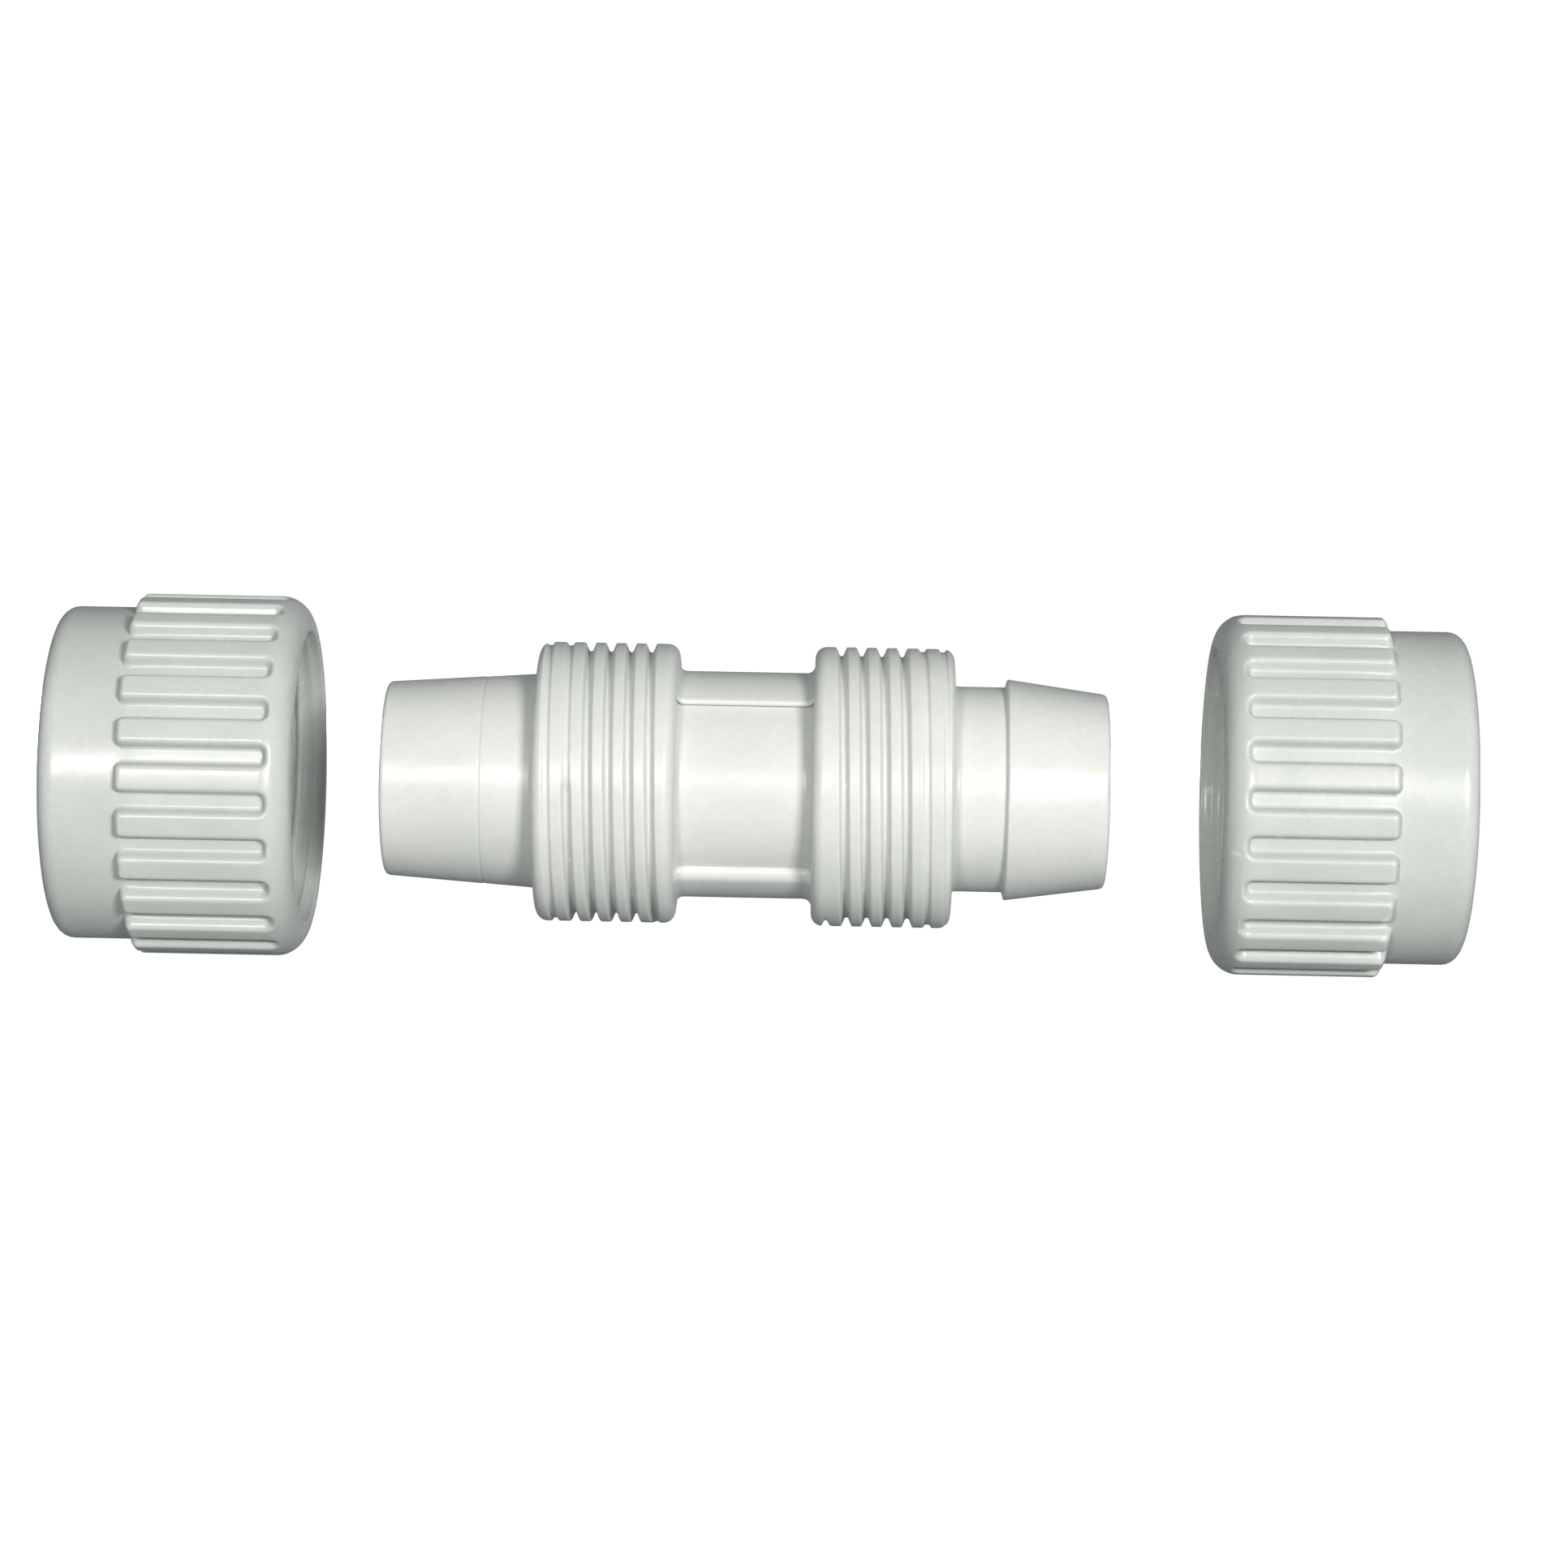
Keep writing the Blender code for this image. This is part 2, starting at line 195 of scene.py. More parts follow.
def filled(points, low, high, step):
    """The outline with more points where it runs along X between low and high."""
    made = [points[0]]
    for (x0, r0), (x1, r1) in zip(points, points[1:]):
        if low - 1e-9 <= min(x0, x1) and max(x0, x1) <= high + 1e-9:
            count = max(1, math.ceil(abs(x1 - x0) / step - 1e-6))
            for i in range(1, count):
                made.append((x0 + (x1 - x0) * i / count, r0 + (r1 - r0) * i / count))
        made.append((x1, r1))
    return made


def around(x, radius, angles):
    """Points on circles about the common axis, by angle from the underside towards the back."""
    x, radius, angles = np.broadcast_arrays(x, radius, angles)
    return np.stack([x, radius * np.sin(angles), AXIS_HEIGHT - radius * np.cos(angles)], -1)


def mesh_object(name, vertices, faces, values=None):
    mesh = bpy.data.meshes.new(name)
    mesh.from_pydata(vertices.reshape(-1, 3).tolist(), [], faces)
    mesh.validate()
    mesh.shade_smooth()
    if values is not None:
        attribute = mesh.attributes.new("recess_shade", "FLOAT", "POINT")
        attribute.data.foreach_set("value", np.ascontiguousarray(values, np.float32).ravel())
    obj = bpy.data.objects.new(name, mesh)
    bpy.context.scene.collection.objects.link(obj)
    return obj


def ring_faces(rows, columns, closed_around=True):
    """Quads of a grid whose last row joins the first, and whose last column does if closed_around."""
    last = columns if closed_around else columns - 1
    i, j = np.meshgrid(np.arange(rows), np.arange(last), indexing="ij")
    next_row = (i + 1) % rows
    next_column = (j + 1) % columns
    quads = np.stack([i * columns + j, i * columns + next_column,
                      next_row * columns + next_column, next_row * columns + j], -1)
    return quads.reshape(-1, 4)


def outward(grid, faces):
    """The faces in the order that makes their normals point out of the solid."""
    p = grid.reshape(-1, 3)
    a, b, c, d = (p[faces[:, k]] for k in range(4))
    volume = np.sum(a * np.cross(b, c)) + np.sum(a * np.cross(c, d))
    return faces if volume > 0 else faces[:, ::-1]


# ---------------------------------------------------------------- body

def groove(x, angles, thread):
    """Radius of the groove's surface at x and angle. Where it is above the collar there is no groove."""
    phase = (angles - thread["angle"]) / (2 * math.pi)
    turn = np.round((x - thread["x"]) / PITCH - phase) + phase
    off = np.abs(x - thread["x"] - PITCH * turn)
    if thread["out"] < 0:
        outside, inside = -turn, turn - thread["turns"]
    else:
        outside, inside = turn - thread["turns"], -turn
    shallow = smooth_step(outside / LEAD_IN_FADE_TURNS + 0.5)
    root = ROOT_RADIUS + (LEAD_IN_RADIUS - ROOT_RADIUS) * shallow
    half = ROOT_HALF_WIDTH + (LEAD_IN_HALF_WIDTH - ROOT_HALF_WIDTH) * shallow
    run_out = np.maximum(np.maximum(inside, outside - LEAD_IN_TURNS), 0)
    root = root + run_out * RUN_OUT_RISE_PER_TURN
    return root + smooth_max(0 * off, (off - half) / FLANK_SLOPE, GROOVE_BLEND)


def grip_section(count, rib_edge):
    """One quarter of the grip's cross section from the bottom rib to the back panel: (y, z) points.

    A small edge leaves a flat ledge between the rib and the panel. A large one takes all of it.
    """
    crease = math.acos(PANEL_HALF_HEIGHT / PANEL_RADIUS)
    inner = RIB_RADIUS - rib_edge
    if rib_edge < (RIB_RADIUS - PANEL_RADIUS) / 2:
        edge = math.acos((PANEL_HALF_HEIGHT + rib_edge) / inner)
        sweep = math.pi - edge
    else:
        apart = (inner ** 2 + PANEL_RADIUS ** 2 - rib_edge ** 2) / (2 * inner * PANEL_RADIUS)
        edge = crease - math.acos(apart)
        sweep = math.acos((PANEL_RADIUS ** 2 - inner ** 2 - rib_edge ** 2) / (2 * inner * rib_edge))
    points = [(RIB_RADIUS * math.sin(a), -RIB_RADIUS * math.cos(a)) for a in np.linspace(0, edge, 60)]
    for a in np.linspace(edge, edge + sweep, 40)[1:]:
        points.append((inner * math.sin(edge) + rib_edge * math.sin(a),
                       -inner * math.cos(edge) - rib_edge * math.cos(a)))
    corner = len(points)
    for a in np.linspace(crease, math.pi / 2, 90):
        points.append((PANEL_RADIUS * math.sin(a), -PANEL_RADIUS * math.cos(a)))
    points = np.array(points)
    along = np.concatenate([[0], np.cumsum(np.hypot(*np.diff(points, axis=0).T))])
    dense = np.linspace(0, along[-1], 2000)
    weight = 1 + 2.5 * np.exp(-((dense - along[corner] + 0.3 * MM) / (0.7 * MM)) ** 2)
    share = np.concatenate([[0], np.cumsum((weight[1:] + weight[:-1]) / 2)])
    spots = np.interp(np.linspace(0, share[-1], count + 1), share, dense)
    spots[np.argmin(np.abs(spots - along[corner]))] = along[corner]
    return np.stack([np.interp(spots, along, points[:, k]) for k in range(2)], -1)


def whole_section(columns):
    low = grip_section(columns // 4, LOWER_RIB_EDGE)
    high = grip_section(columns // 4, UPPER_RIB_EDGE) * [1, -1]
    back = np.concatenate([low, high[-2::-1]])
    return np.concatenate([back[:-1], (back * [-1, 1])[:0:-1]])


def grip_rows(columns):
    """Rows of the grip between the collars, from left to right, with a fillet at each end."""
    section = whole_section(columns)
    radius = np.hypot(*section.T)
    unit = section / radius[:, None]
    turns = np.linspace(0, math.pi / 2, 7)
    spots = [(PANEL_FILLET * (1 - math.cos(a)), PANEL_FILLET * (1 - math.sin(a))) for a in turns]
    length = GRIP_END - GRIP_START
    margin = PANEL_FILLET + 0.07 * MM
    middle = [(x, 0.0) for x in np.linspace(margin, length - margin, 12)]
    rows = []
    for x, rise in spots + middle + [(length - x, rise) for x, rise in spots[::-1]]:
        flat = unit * (radius + rise)[:, None]
        along = np.full(columns, GRIP_START + x)
        rows.append(np.column_stack([along, flat[:, 0], AXIS_HEIGHT + flat[:, 1]]))
    return rows


def collar_outline(start, stop, start_radius, stop_radius):
    """(x, radius) points over one collar, close enough together to carry its groove."""
    outline = rounded([
        (start, start_radius, 0),
        (start, COLLAR_RADIUS, COLLAR_EDGE),
        (stop, COLLAR_RADIUS, COLLAR_EDGE),
        (stop, stop_radius, 0),
    ], arc_step=6)
    return filled(outline, start + COLLAR_EDGE, stop - COLLAR_EDGE, THREAD_ROW)


def left_spigot_radius(x):
    return TIP_RADIUS + (LEFT_ROOT_RADIUS - TIP_RADIUS) * (x - LEFT_TIP) / (LEFT_STOP - LEFT_TIP)


def left_spigot():
    """(x, radius) points from the left tip to the left collar, over the fine mark."""
    return rounded([
        (LEFT_TIP, 5.2 * MM, 0),
        (LEFT_TIP, TIP_RADIUS, 0.3 * MM),
        (LEFT_MARK - MARK_HALF_WIDTH, left_spigot_radius(LEFT_MARK), 0.05 * MM),
        (LEFT_MARK, left_spigot_radius(LEFT_MARK) - MARK_DEPTH, 0.05 * MM),
        (LEFT_MARK + MARK_HALF_WIDTH, left_spigot_radius(LEFT_MARK), 0.05 * MM),
        (LEFT_STOP, LEFT_ROOT_RADIUS, 0.3 * MM),
        (LEFT_STOP, 7.2 * MM, 0),
    ], support=0.03 * MM)


def right_spigot_and_bore():
    """(x, radius) points from the right collar over the barb, and back through the waterway."""
    return rounded([
        (RIGHT_STOP, 7.2 * MM, 0),
        (RIGHT_STOP, NECK_RADIUS, 0.3 * MM),
        (BARB_STEP - 0.12 * MM, NECK_RADIUS, 0.1 * MM),
        (BARB_STEP, BARB_RADIUS, 0.12 * MM),
        (RIGHT_TIP, TIP_RADIUS, 0.35 * MM),
        (RIGHT_TIP, BORE_RADIUS, 0.3 * MM),
        (LEFT_TIP, BORE_RADIUS, 0.3 * MM),
        (LEFT_TIP, 5.1 * MM, 0),
    ], support=0.03 * MM)


def make_body(material):
    columns = BODY_COLUMNS
    angles = np.linspace(0, 2 * math.pi, columns, endpoint=False)
    rows, recess_shade = [], []

    def add(outline, thread=None):
        for x, radius in outline:
            ring = np.full(columns, radius)
            # Painted shade weight: the fine mark's groove is darkened, and each thread groove is
            # darkened by its depth.
            deep = np.full(columns, MARK_SHADE if abs(x - LEFT_MARK) < 0.1 * MM else 0.0)
            if thread:
                ring = smooth_min(ring, groove(x, angles, thread), THREAD_BLEND)
                deep = np.clip((radius - ring) / (COLLAR_RADIUS - ROOT_RADIUS), 0, 1)
            rows.append(around(x, ring, angles))
            recess_shade.append(deep)

    add(left_spigot())
    add(collar_outline(LEFT_STOP, GRIP_START, 7.4 * MM, 7.75 * MM), LEFT_THREAD)
    for row in grip_rows(columns):
        rows.append(row)
        recess_shade.append(np.zeros(columns))
    add(collar_outline(GRIP_END, RIGHT_STOP, 7.75 * MM, 7.4 * MM), RIGHT_THREAD)
    add(right_spigot_and_bore())
    grid = np.array(rows)
    faces = outward(grid, ring_faces(len(rows), columns))
    body = mesh_object("coupling_body_shell", grid, faces.tolist(), np.array(recess_shade))
    body.data.materials.append(material)
    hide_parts("coupling_body")
    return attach(body, "body")


# ---------------------------------------------------------------- nuts

def rib_columns(first_angle):
    """Angles around a nut, close together at the sides of each rib, and the distance from a valley."""
    half = math.pi * NUT_RADIUS / RIB_COUNT
    sides = [0.28, 0.44, 0.52, 0.60, 0.68, 0.76, 0.86, 0.98, 1.2]
    offsets = [0.0] + [s * MM for s in sides] + [half] + [2 * half - s * MM for s in sides[::-1]]
    angles, apart = [], []
    for rib in range(RIB_COUNT):
        for offset in offsets:
            angles.append(first_angle + 2 * math.pi * rib / RIB_COUNT + offset / NUT_RADIUS)
            apart.append(min(offset, 2 * half - offset))
    return np.array(angles), np.array(apart)


def rib_height(s, apart):
    """How far the outside stands above the valley floor, from 0 to 1, at s from the nut's outer end."""
    slot_half = 0.5 * MM
    corner = 0.5 * MM
    end_corner = 0.35 * MM
    width = 0.42 * MM
    past = s - SLOT_END + end_corner
    side = apart - slot_half + end_corner
    slot = np.where(past > 0, np.hypot(np.maximum(side, 0), past), side) - end_corner
    slot = np.where((past > 0) & (side < 0), s - SLOT_END, slot)
    start = s - RIB_FOOT
    inside = np.hypot(np.maximum(corner - start, 0), np.maximum(corner - slot, 0))
    d = np.where((start < corner) | (slot < corner), corner - inside, corner)
    t = np.clip(d / width, 0, 1)
    return np.sqrt(np.clip(1 - (1 - t) ** 2, 0, 1)) ** 1.15


def outer_radius(s):
    """Radius of the nut's rounded outside, over the ribs, at s from its outer end."""
    return NUT_RADIUS - RIM_EDGE + math.sqrt(RIM_EDGE ** 2 - max(0, s - RIM_START) ** 2)


def nut_groove(x, angles, thread):
    """Inner radius of a nut's thread at x: a groove that takes the body's land with a clearance."""
    half = PITCH / 2 - ROOT_HALF_WIDTH - FLANK_SLOPE * (COLLAR_RADIUS - ROOT_RADIUS)
    half += THREAD_CLEARANCE - FLANK_SLOPE * (NUT_GROOVE_RADIUS - COLLAR_RADIUS)
    phase = (x - thread["x"]) / PITCH - (angles - thread["angle"]) / (2 * math.pi) - 0.5
    off = np.abs(phase - np.round(phase)) * PITCH
    ring = NUT_GROOVE_RADIUS - smooth_max(0 * off, (off - half) / FLANK_SLOPE, THREAD_BLEND)
    return smooth_max(ring, np.full(len(angles), NUT_CREST_RADIUS), THREAD_BLEND)


def make_nut(side, end, direction, first_angle, thread, material):
    angles, apart = rib_columns(first_angle)
    columns = len(angles)
    rows, recess_shade = [], []

    def add(s, ring, deep=0.0):
        rows.append(around(end + direction * s, ring, angles))
        recess_shade.append(np.broadcast_to(deep, (columns,)))

    start = rounded([
        (0, 8.8 * MM, 0),
        (0, SKIRT_RADIUS, 1.0 * MM),
        (4.6 * MM, SKIRT_RADIUS, 0),
    ])
    for s, radius in start:
        add(s, radius)
    feet = [4.68, 4.74, 4.79, 4.83, 4.87, 4.92, 4.98, 5.05, 5.14, 5.24, 5.36, 5.5, 5.7]
    middle = [6.2, 7.0, 7.8, 8.7, 9.6, 10.6, 11.6, 12.6]
    ends = [13.2, 13.38, 13.5, 13.58, 13.66, 13.73, 13.8, 13.86, 13.92, 13.98, 14.05, 14.12, 14.18]
    for s in feet + middle + ends:
        s *= MM
        rise = smooth_step((s - VALLEY_RAMP_START) / VALLEY_RAMP)
        floor = SKIRT_RADIUS + (VALLEY_RADIUS - SKIRT_RADIUS) * rise
        height = rib_height(s, apart)
        # Painted shade along the sides of each rib, strongest halfway up the side.
        add(s, floor + (outer_radius(s) - floor) * height, 4 * height * (1 - height))
    for a in np.linspace(math.radians(25), math.radians(88), 8):
        add(RIM_START + RIM_EDGE * math.sin(a), NUT_RADIUS - RIM_EDGE * (1 - math.cos(a)))
    rim = rounded([
        (NUT_LENGTH, NUT_RADIUS - RIM_EDGE, 0),
        (NUT_LENGTH, MOUTH_RADIUS, 0.15 * MM),
        (NUT_THREAD_START + 0.05 * MM, MOUTH_RADIUS, 0),
    ], arc_step=9, support=0.05 * MM)
    for s, radius in rim:
        add(s, radius)
    for s in np.arange(NUT_THREAD_START, NUT_THREAD_END, -NUT_THREAD_ROW):
        ring = nut_groove(end + direction * s, angles, thread)
        ring = np.maximum(ring, NUT_CHAMFER_RADIUS - (NUT_THREAD_START - s))
        # Painted shade in the thread grooves, darker where they are deeper.
        deep = (ring - NUT_CREST_RADIUS) / (NUT_GROOVE_RADIUS - NUT_CREST_RADIUS)
        add(s, ring, np.clip(deep, 0, 1) * NUT_GROOVE_SHADE)
    inside = rounded([
        (7.6 * MM, 8.5 * MM, 0),
        (7.6 * MM, CHAMBER_RADIUS, 0.15 * MM),
        (5.2 * MM, CHAMBER_RADIUS, 0.15 * MM),
        (1.2 * MM, 8.75 * MM, 0.15 * MM),
        (1.2 * MM, HOLE_RADIUS, 0.12 * MM),
        (0, HOLE_RADIUS, 0.25 * MM),
        (0, 8.7 * MM, 0),
    ])
    for s, radius in inside:
        add(s, radius)
    grid = np.array(rows)
    faces = outward(grid, ring_faces(len(rows), columns))
    nut = mesh_object(side + "_nut_shell", grid, faces.tolist(), np.array(recess_shade))
    nut.data.materials.append(material)
    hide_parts(side + "_nut")
    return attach(nut, side + "_nut")


# ---------------------------------------------------------------- rings
# These are a guess. The real coupling probably has no rings.

def make_grip_ring(side, end, direction, material):
    """The split ring: a cone outside, teeth that point back into the fitting inside."""
    profile = rounded([
        (GRIP_RING_START, 8.2 * MM, 0),
        (GRIP_RING_START, 8.46 * MM, 0.12 * MM),
        (GRIP_RING_STOP, 8.83 * MM, 0.15 * MM),
        (GRIP_RING_STOP, 8.2 * MM, 0),
    ])
    for tooth in range(TOOTH_COUNT):
        base = GRIP_RING_STOP - 0.15 * MM - tooth * TOOTH_PITCH
        profile.append((base, 8.04 * MM))
        profile.append((base - 0.08 * MM, 8.02 * MM))
        profile.append((base - 0.46 * MM, 8.2 * MM))
        profile.append((base - 0.54 * MM, 8.19 * MM))
    half_gap = GRIP_RING_GAP / 2 / (8.4 * MM)
    columns = RING_COLUMNS
    angles = np.linspace(math.pi + half_gap, 3 * math.pi - half_gap, columns)
    grid = np.array([around(end + direction * s, radius, angles) for s, radius in profile])
    faces = outward(grid, ring_faces(len(profile), columns, closed_around=False))
    flipped = faces[0][1] != 1
    rows = np.arange(len(profile)) * columns
    caps = [rows.tolist(), (rows + columns - 1)[::-1].tolist()]
    if not flipped:
        caps = [cap[::-1] for cap in caps]
    ring = mesh_object(side + "_grip_ring_teeth", grid, faces.tolist() + caps, np.zeros(grid.shape[:2]))
    ring.data.set_sharp_from_angle(angle=math.radians(50))
    ring.data.materials.append(material)
    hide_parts(side + "_grip_ring")
    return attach(ring, side + "_ring_set")


def make_seal_ring(side, end, direction, material):
    """The rubber ring, with a shallow channel around its inside."""
    low, high = SEAL_RING_START, SEAL_RING_STOP
    inner, outer = SEAL_INNER_RADIUS, SEAL_OUTER_RADIUS
    middle = (low + high) / 2
    profile = rounded([
        (middle, outer, 0),
        (high, outer, 0.3 * MM),
        (high, inner, 0.3 * MM),
        (middle + 0.3 * MM, inner, 0.15 * MM),
        (middle, inner + 0.16 * MM, 0.12 * MM),
        (middle - 0.3 * MM, inner, 0.15 * MM),
        (low, inner, 0.3 * MM),
        (low, outer, 0.3 * MM),
        (middle - 0.05 * MM, outer, 0),
    ], support=0.02 * MM)
    columns = RING_COLUMNS
    angles = np.linspace(0, 2 * math.pi, columns, endpoint=False)
    grid = np.array([around(end + direction * s, radius, angles) for s, radius in profile])
    faces = outward(grid, ring_faces(len(profile), columns))
    ring = mesh_object(side + "_seal_ring_rubber", grid, faces.tolist(), np.zeros(grid.shape[:2]))
    ring.data.materials.append(material)
    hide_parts(side + "_seal_ring")
    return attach(ring, side + "_ring_set")


# ---------------------------------------------------------------- materials

class Nodes:
    """A short way to make and link nodes."""

    def __init__(self, material):
        material.use_nodes = True
        self.tree = material.node_tree
        self.shader = self.tree.nodes["Principled BSDF"]

    def add(self, kind, values=None, **settings):
        node = self.tree.nodes.new(kind)
        for name, value in settings.items():
            setattr(node, name, value)
        for name, value in (values or {}).items():
            if isinstance(value, bpy.types.NodeSocket):
                self.tree.links.new(value, node.inputs[name])
            else:
                node.inputs[name].default_value = value
        return node

    def noise(self, scale, detail=4.0, roughness=0.5):
        place = self.add("ShaderNodeTexCoord").outputs["Object"]
        values = {"Vector": place, "Scale": scale, "Detail": detail, "Roughness": roughness}
        return self.add("ShaderNodeTexNoise", values).outputs["Fac"]

    def between(self, value, low, high, to_low, to_high):
        values = {"Value": value, "From Min": low, "From Max": high, "To Min": to_low, "To Max": to_high}
        return self.add("ShaderNodeMapRange", values).outputs["Result"]

    def mix(self, share, first, second, blend="MIX"):
        node = self.add("ShaderNodeMix", data_type="RGBA", blend_type=blend)
        for index, value in ((0, share), (6, first), (7, second)):
            if isinstance(value, bpy.types.NodeSocket):
                self.tree.links.new(value, node.inputs[index])
            else:
                node.inputs[index].default_value = value
        return node.outputs[2]

    def bump(self, height, strength, distance, normal=None):
        values = {"Height": height, "Strength": strength, "Distance": distance}
        if normal:
            values["Normal"] = normal
        return self.add("ShaderNodeBump", values).outputs["Normal"]

    def drive(self, socket, value):
        self.tree.links.new(value, self.shader.inputs[socket])


def acetal(name, base, shade, seed, painted_shade_share, gloss_range):
    """Slightly aged off-white moulded plastic: cloudy colour, painted shade in grooves and along rib
    sides, rubbed edges.
    """
    material = bpy.data.materials.new(name)
    n = Nodes(material)
    cloud = n.noise(160 + seed, 3.0, 0.55)
    colour = n.mix(n.between(cloud, 0.38, 0.62, 0, 1), (*base, 1), (*shade, 1))
    speck = n.noise(2600 + seed, 2.0, 0.6)
    dark = (shade[0] * 0.93, shade[1] * 0.95, shade[2] * 0.94, 1)
    colour = n.mix(n.between(speck, 0.35, 0.65, 0.0, 0.35), colour, dark)
    # Painted shade: the colour is darkened towards (0.50, 0.53, 0.50) by the per-point weight, in thread
    # grooves, in the fine mark and along rib sides.
    recess_shade = n.add("ShaderNodeAttribute", attribute_name="recess_shade").outputs["Fac"]
    painted_shade = n.between(recess_shade, 0.15, 1.0, 0.0, painted_shade_share)
    colour = n.mix(painted_shade, colour, (0.50, 0.53, 0.50, 1))
    point = n.add("ShaderNodeNewGeometry").outputs["Pointiness"]
    rubbed = n.between(point, 0.52, 0.60, 0.0, 0.5)
    colour = n.mix(rubbed, colour, (0.87, 0.88, 0.86, 1))
    n.drive("Base Color", colour)
    gloss = n.between(n.noise(420 + seed, 5.0, 0.65), 0.3, 0.7, *gloss_range)
    n.drive("Roughness", gloss)
    skin = n.bump(n.noise(1500 + seed, 5.0, 0.6), 0.16, 0.03 * MM)
    n.drive("Normal", n.bump(n.noise(260 + seed, 2.0, 0.5), 0.2, 0.12 * MM, skin))
    n.shader.inputs["Subsurface Weight"].default_value = 0.12
    n.shader.inputs["Subsurface Radius"].default_value = (1.0, 0.95, 0.8)
    n.shader.inputs["Subsurface Scale"].default_value = 0.5 * MM
    n.shader.inputs["IOR"].default_value = 1.48
    return material


def ring_plastic():
    material = bpy.data.materials.new("glossy_white_ring_plastic")
    n = Nodes(material)
    cloud = n.between(n.noise(220, 3.0), 0.35, 0.65, 0, 1)
    n.drive("Base Color", n.mix(cloud, (0.83, 0.83, 0.80, 1), (0.88, 0.88, 0.86, 1)))
    n.drive("Roughness", n.between(n.noise(600, 4.0), 0.3, 0.7, 0.26, 0.4))
    n.drive("Normal", n.bump(n.noise(1800, 4.0), 0.12, 0.02 * MM))
    return material


def rubber():
    material = bpy.data.materials.new("black_seal_rubber")
    n = Nodes(material)
    bloom = n.between(n.noise(500, 5.0, 0.6), 0.4, 0.7, 0, 1)
    n.drive("Base Color", n.mix(bloom, (0.022, 0.022, 0.023, 1), (0.045, 0.045, 0.043, 1)))
    n.drive("Roughness", n.between(n.noise(900, 4.0), 0.3, 0.7, 0.55, 0.78))
    n.drive("Normal", n.bump(n.noise(3000, 3.0), 0.25, 0.02 * MM))
    return material


# ---------------------------------------------------------------- stage

def make_stage():
    """A round pale floor that curves up into its own backdrop."""
    flat, curve, height = 0.55, 0.3, 0.9
    outline = [(0.0, 0.0)] + [(r, 0.0) for r in (0.1, 0.25, 0.4, flat)]
    for a in np.linspace(0, math.pi / 2, 13)[1:]:
        outline.append((flat + curve * math.sin(a), curve - curve * math.cos(a)))
    outline.append((flat + curve, height))
    count = 96
    vertices, faces = [(0, 0, 0)], []
    for radius, z in outline[1:]:
        for k in range(count):
            a = 2 * math.pi * k / count
            vertices.append((radius * math.cos(a), radius * math.sin(a), z))
    for k in range(count):
        faces.append((0, 1 + k, 1 + (k + 1) % count))
    for row in range(len(outline) - 2):
        low, high = 1 + row * count, 1 + (row + 1) * count
        for k in range(count):
            faces.append((low + k, high + k, high + (k + 1) % count, low + (k + 1) % count))
    mesh = bpy.data.meshes.new("floor")
    mesh.from_pydata(vertices, [], faces)
    mesh.shade_smooth()
    floor = bpy.data.objects.new("floor", mesh)
    bpy.context.scene.collection.objects.link(floor)
    material = bpy.data.materials.new("pale_floor")
    n = Nodes(material)
    tone = n.between(n.noise(6, 2.0), 0.3, 0.7, 0, 1)
    n.drive("Base Color", n.mix(tone, (0.19, 0.19, 0.19, 1), (0.21, 0.21, 0.21, 1)))
    n.shader.inputs["Roughness"].default_value = 0.9
    n.shader.inputs["Specular IOR Level"].default_value = 0.1
    n.shader.inputs["Emission Color"].default_value = (1, 1, 1, 1)
    n.shader.inputs["Emission Strength"].default_value = 0.96
    mesh.materials.append(material)
    floor.visible_diffuse = False
    floor.visible_glossy = False
    floor.visible_shadow = False


def area_light(name, place, target, size, size_y, energy, colour):
    light = bpy.data.lights.new(name, "AREA")
    light.shape = "RECTANGLE"
    light.size = size
    light.size_y = size_y
    light.energy = energy
    light.color = colour
    obj = bpy.data.objects.new(name, light)
    bpy.context.scene.collection.objects.link(obj)
    obj.location = place
    obj.rotation_euler = (Vector(target) - Vector(place)).to_track_quat("-Z", "Y").to_euler()
    return obj


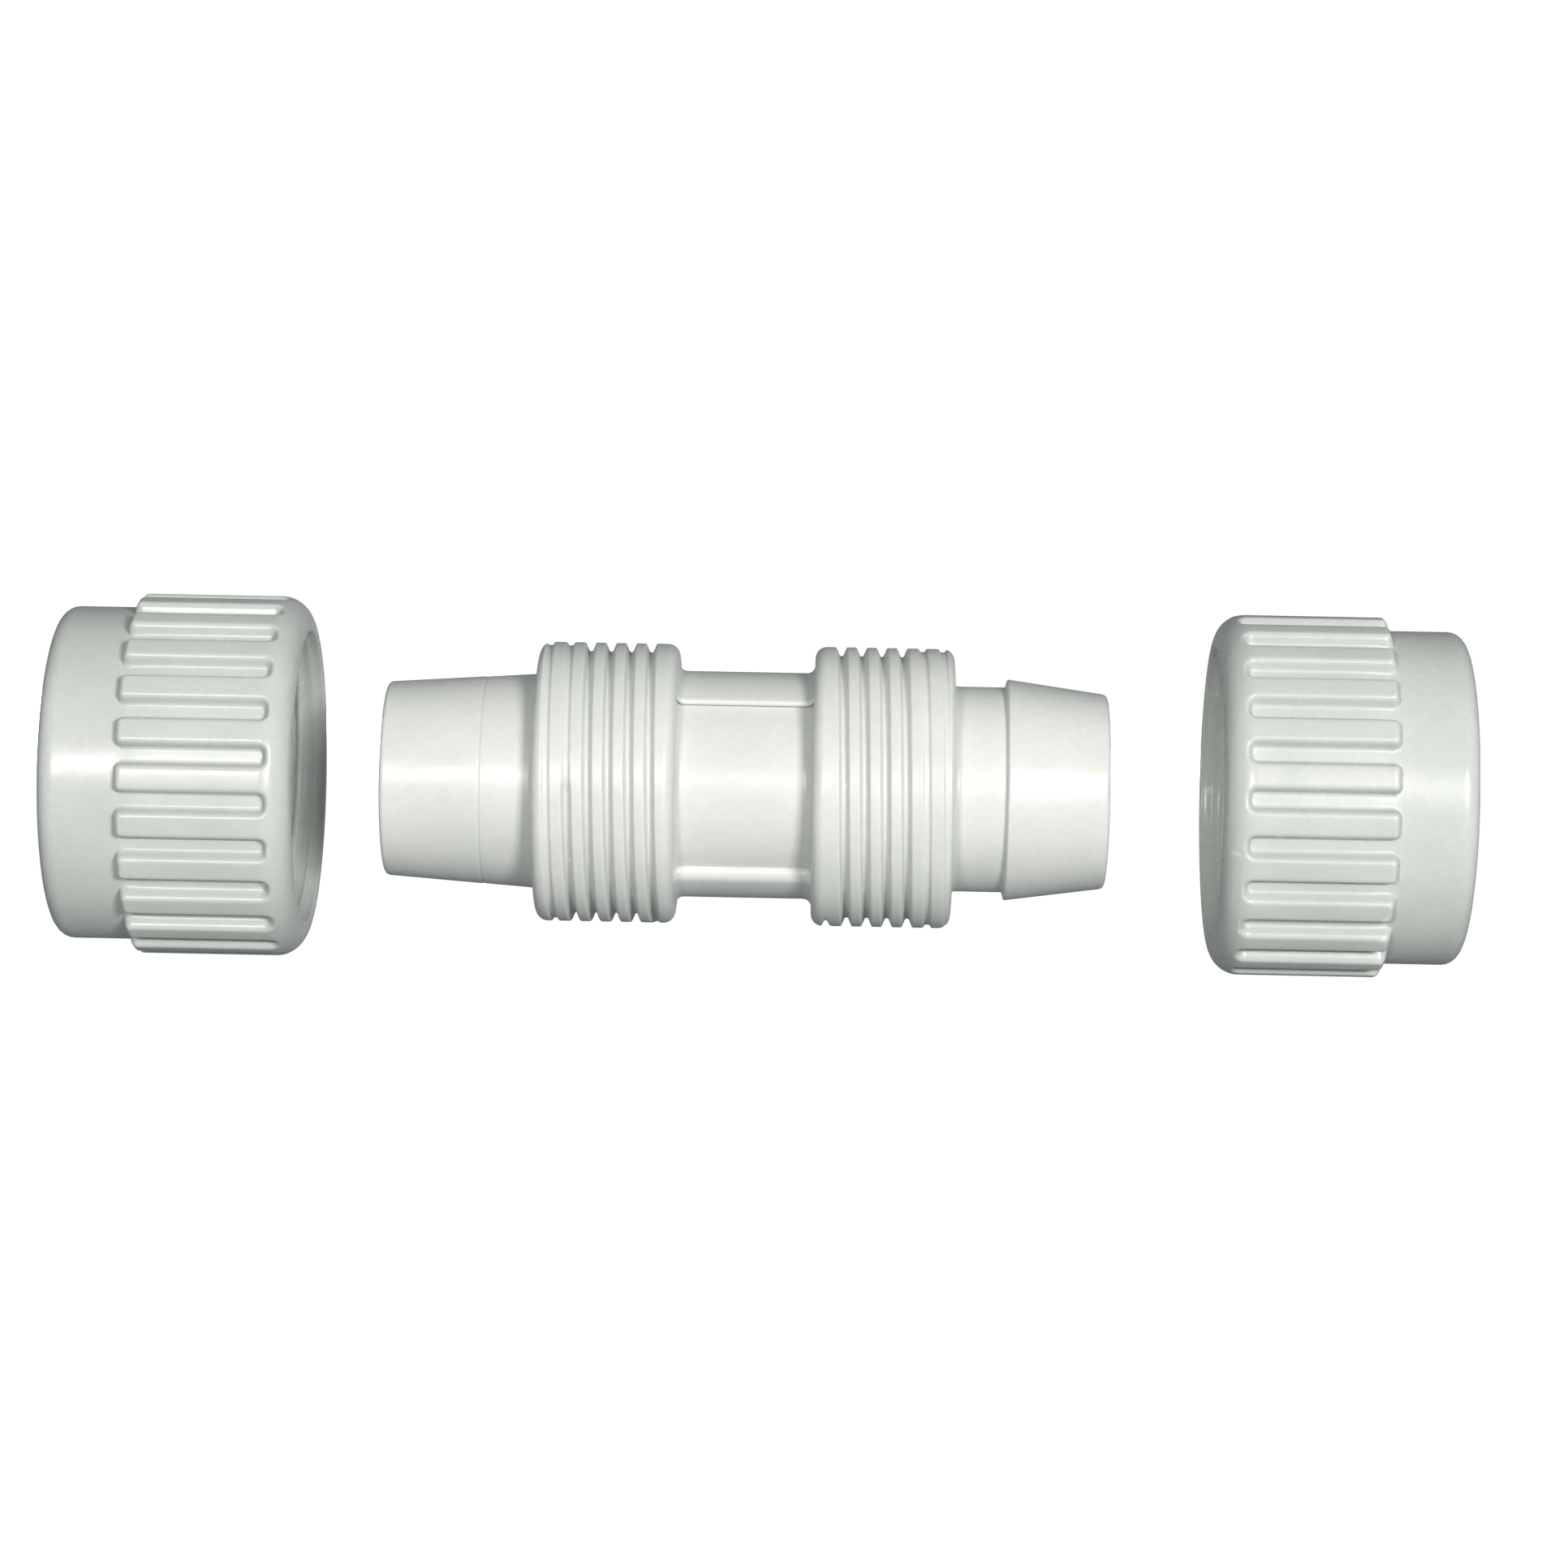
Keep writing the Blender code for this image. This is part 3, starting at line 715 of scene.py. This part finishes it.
def make_lights():
    world = bpy.data.worlds.new("soft_white")
    world.use_nodes = True
    background = world.node_tree.nodes["Background"]
    background.inputs["Color"].default_value = (0.86, 0.97, 1.0, 1)
    background.inputs["Strength"].default_value = 0.18
    bpy.context.scene.world = world
    middle = (0, 0, AXIS_HEIGHT)
    area_light("key_light", (0.24, -0.54, 0.088), middle, 0.14, 0.1, 2.65, (1.0, 0.985, 0.96))
    area_light("front_light", (-0.13, -0.585, 0.082), middle, 0.1, 0.03, 1.3, (1.0, 0.97, 0.93))
    back = area_light("back_light", (0.05, 0.59, 0.06), middle, 0.5, 0.1, 2.8, (0.98, 0.995, 0.98))
    back.visible_camera = False
    back.visible_glossy = False


def make_camera():
    camera = bpy.data.cameras.new("camera")
    camera.lens = 102.5
    camera.sensor_width = 36
    camera.clip_start = 0.01
    camera.clip_end = 10
    obj = bpy.data.objects.new("camera", camera)
    bpy.context.scene.collection.objects.link(obj)
    target = Vector((1.49 * MM, 0, AXIS_HEIGHT + 0.1 * MM))
    swing, rise, distance = math.radians(0.7), math.radians(1.5), 277 * MM
    back = Vector((math.sin(swing) * math.cos(rise), -math.cos(swing) * math.cos(rise), math.sin(rise)))
    obj.location = target + back * distance
    aim = (-back).to_track_quat("-Z", "Y")
    roll = Matrix.Rotation(math.radians(1.1), 4, "Z")
    obj.rotation_euler = (aim.to_matrix().to_4x4() @ roll).to_euler()
    bpy.context.scene.camera = obj


body_acetal = acetal(
    "off_white_acetal_body",
    base=(0.765, 0.775, 0.745),
    shade=(0.715, 0.735, 0.705),
    seed=0.0,
    painted_shade_share=0.25,
    gloss_range=(0.27, 0.4),
)
nut_acetal = acetal(
    "off_white_acetal_nut",
    base=(0.645, 0.665, 0.64),
    shade=(0.60, 0.625, 0.60),
    seed=37.0,
    painted_shade_share=0.6,
    gloss_range=(0.23, 0.34),
)
white_ring = ring_plastic()
black_rubber = rubber()
make_body(body_acetal)
NUTS = (
    ("left", LEFT_NUT_END, 1, math.radians(-90 + 7.5), LEFT_THREAD),
    ("right", RIGHT_NUT_END, -1, math.radians(-90), RIGHT_THREAD),
)
for side, end, direction, first_angle, thread in NUTS:
    make_nut(side, end, direction, first_angle, thread, nut_acetal)
    make_grip_ring(side, end, direction, white_ring)
    make_seal_ring(side, end, direction, black_rubber)
make_stage()
make_lights()
make_camera()
bpy.context.scene.view_settings.view_transform = "Standard"
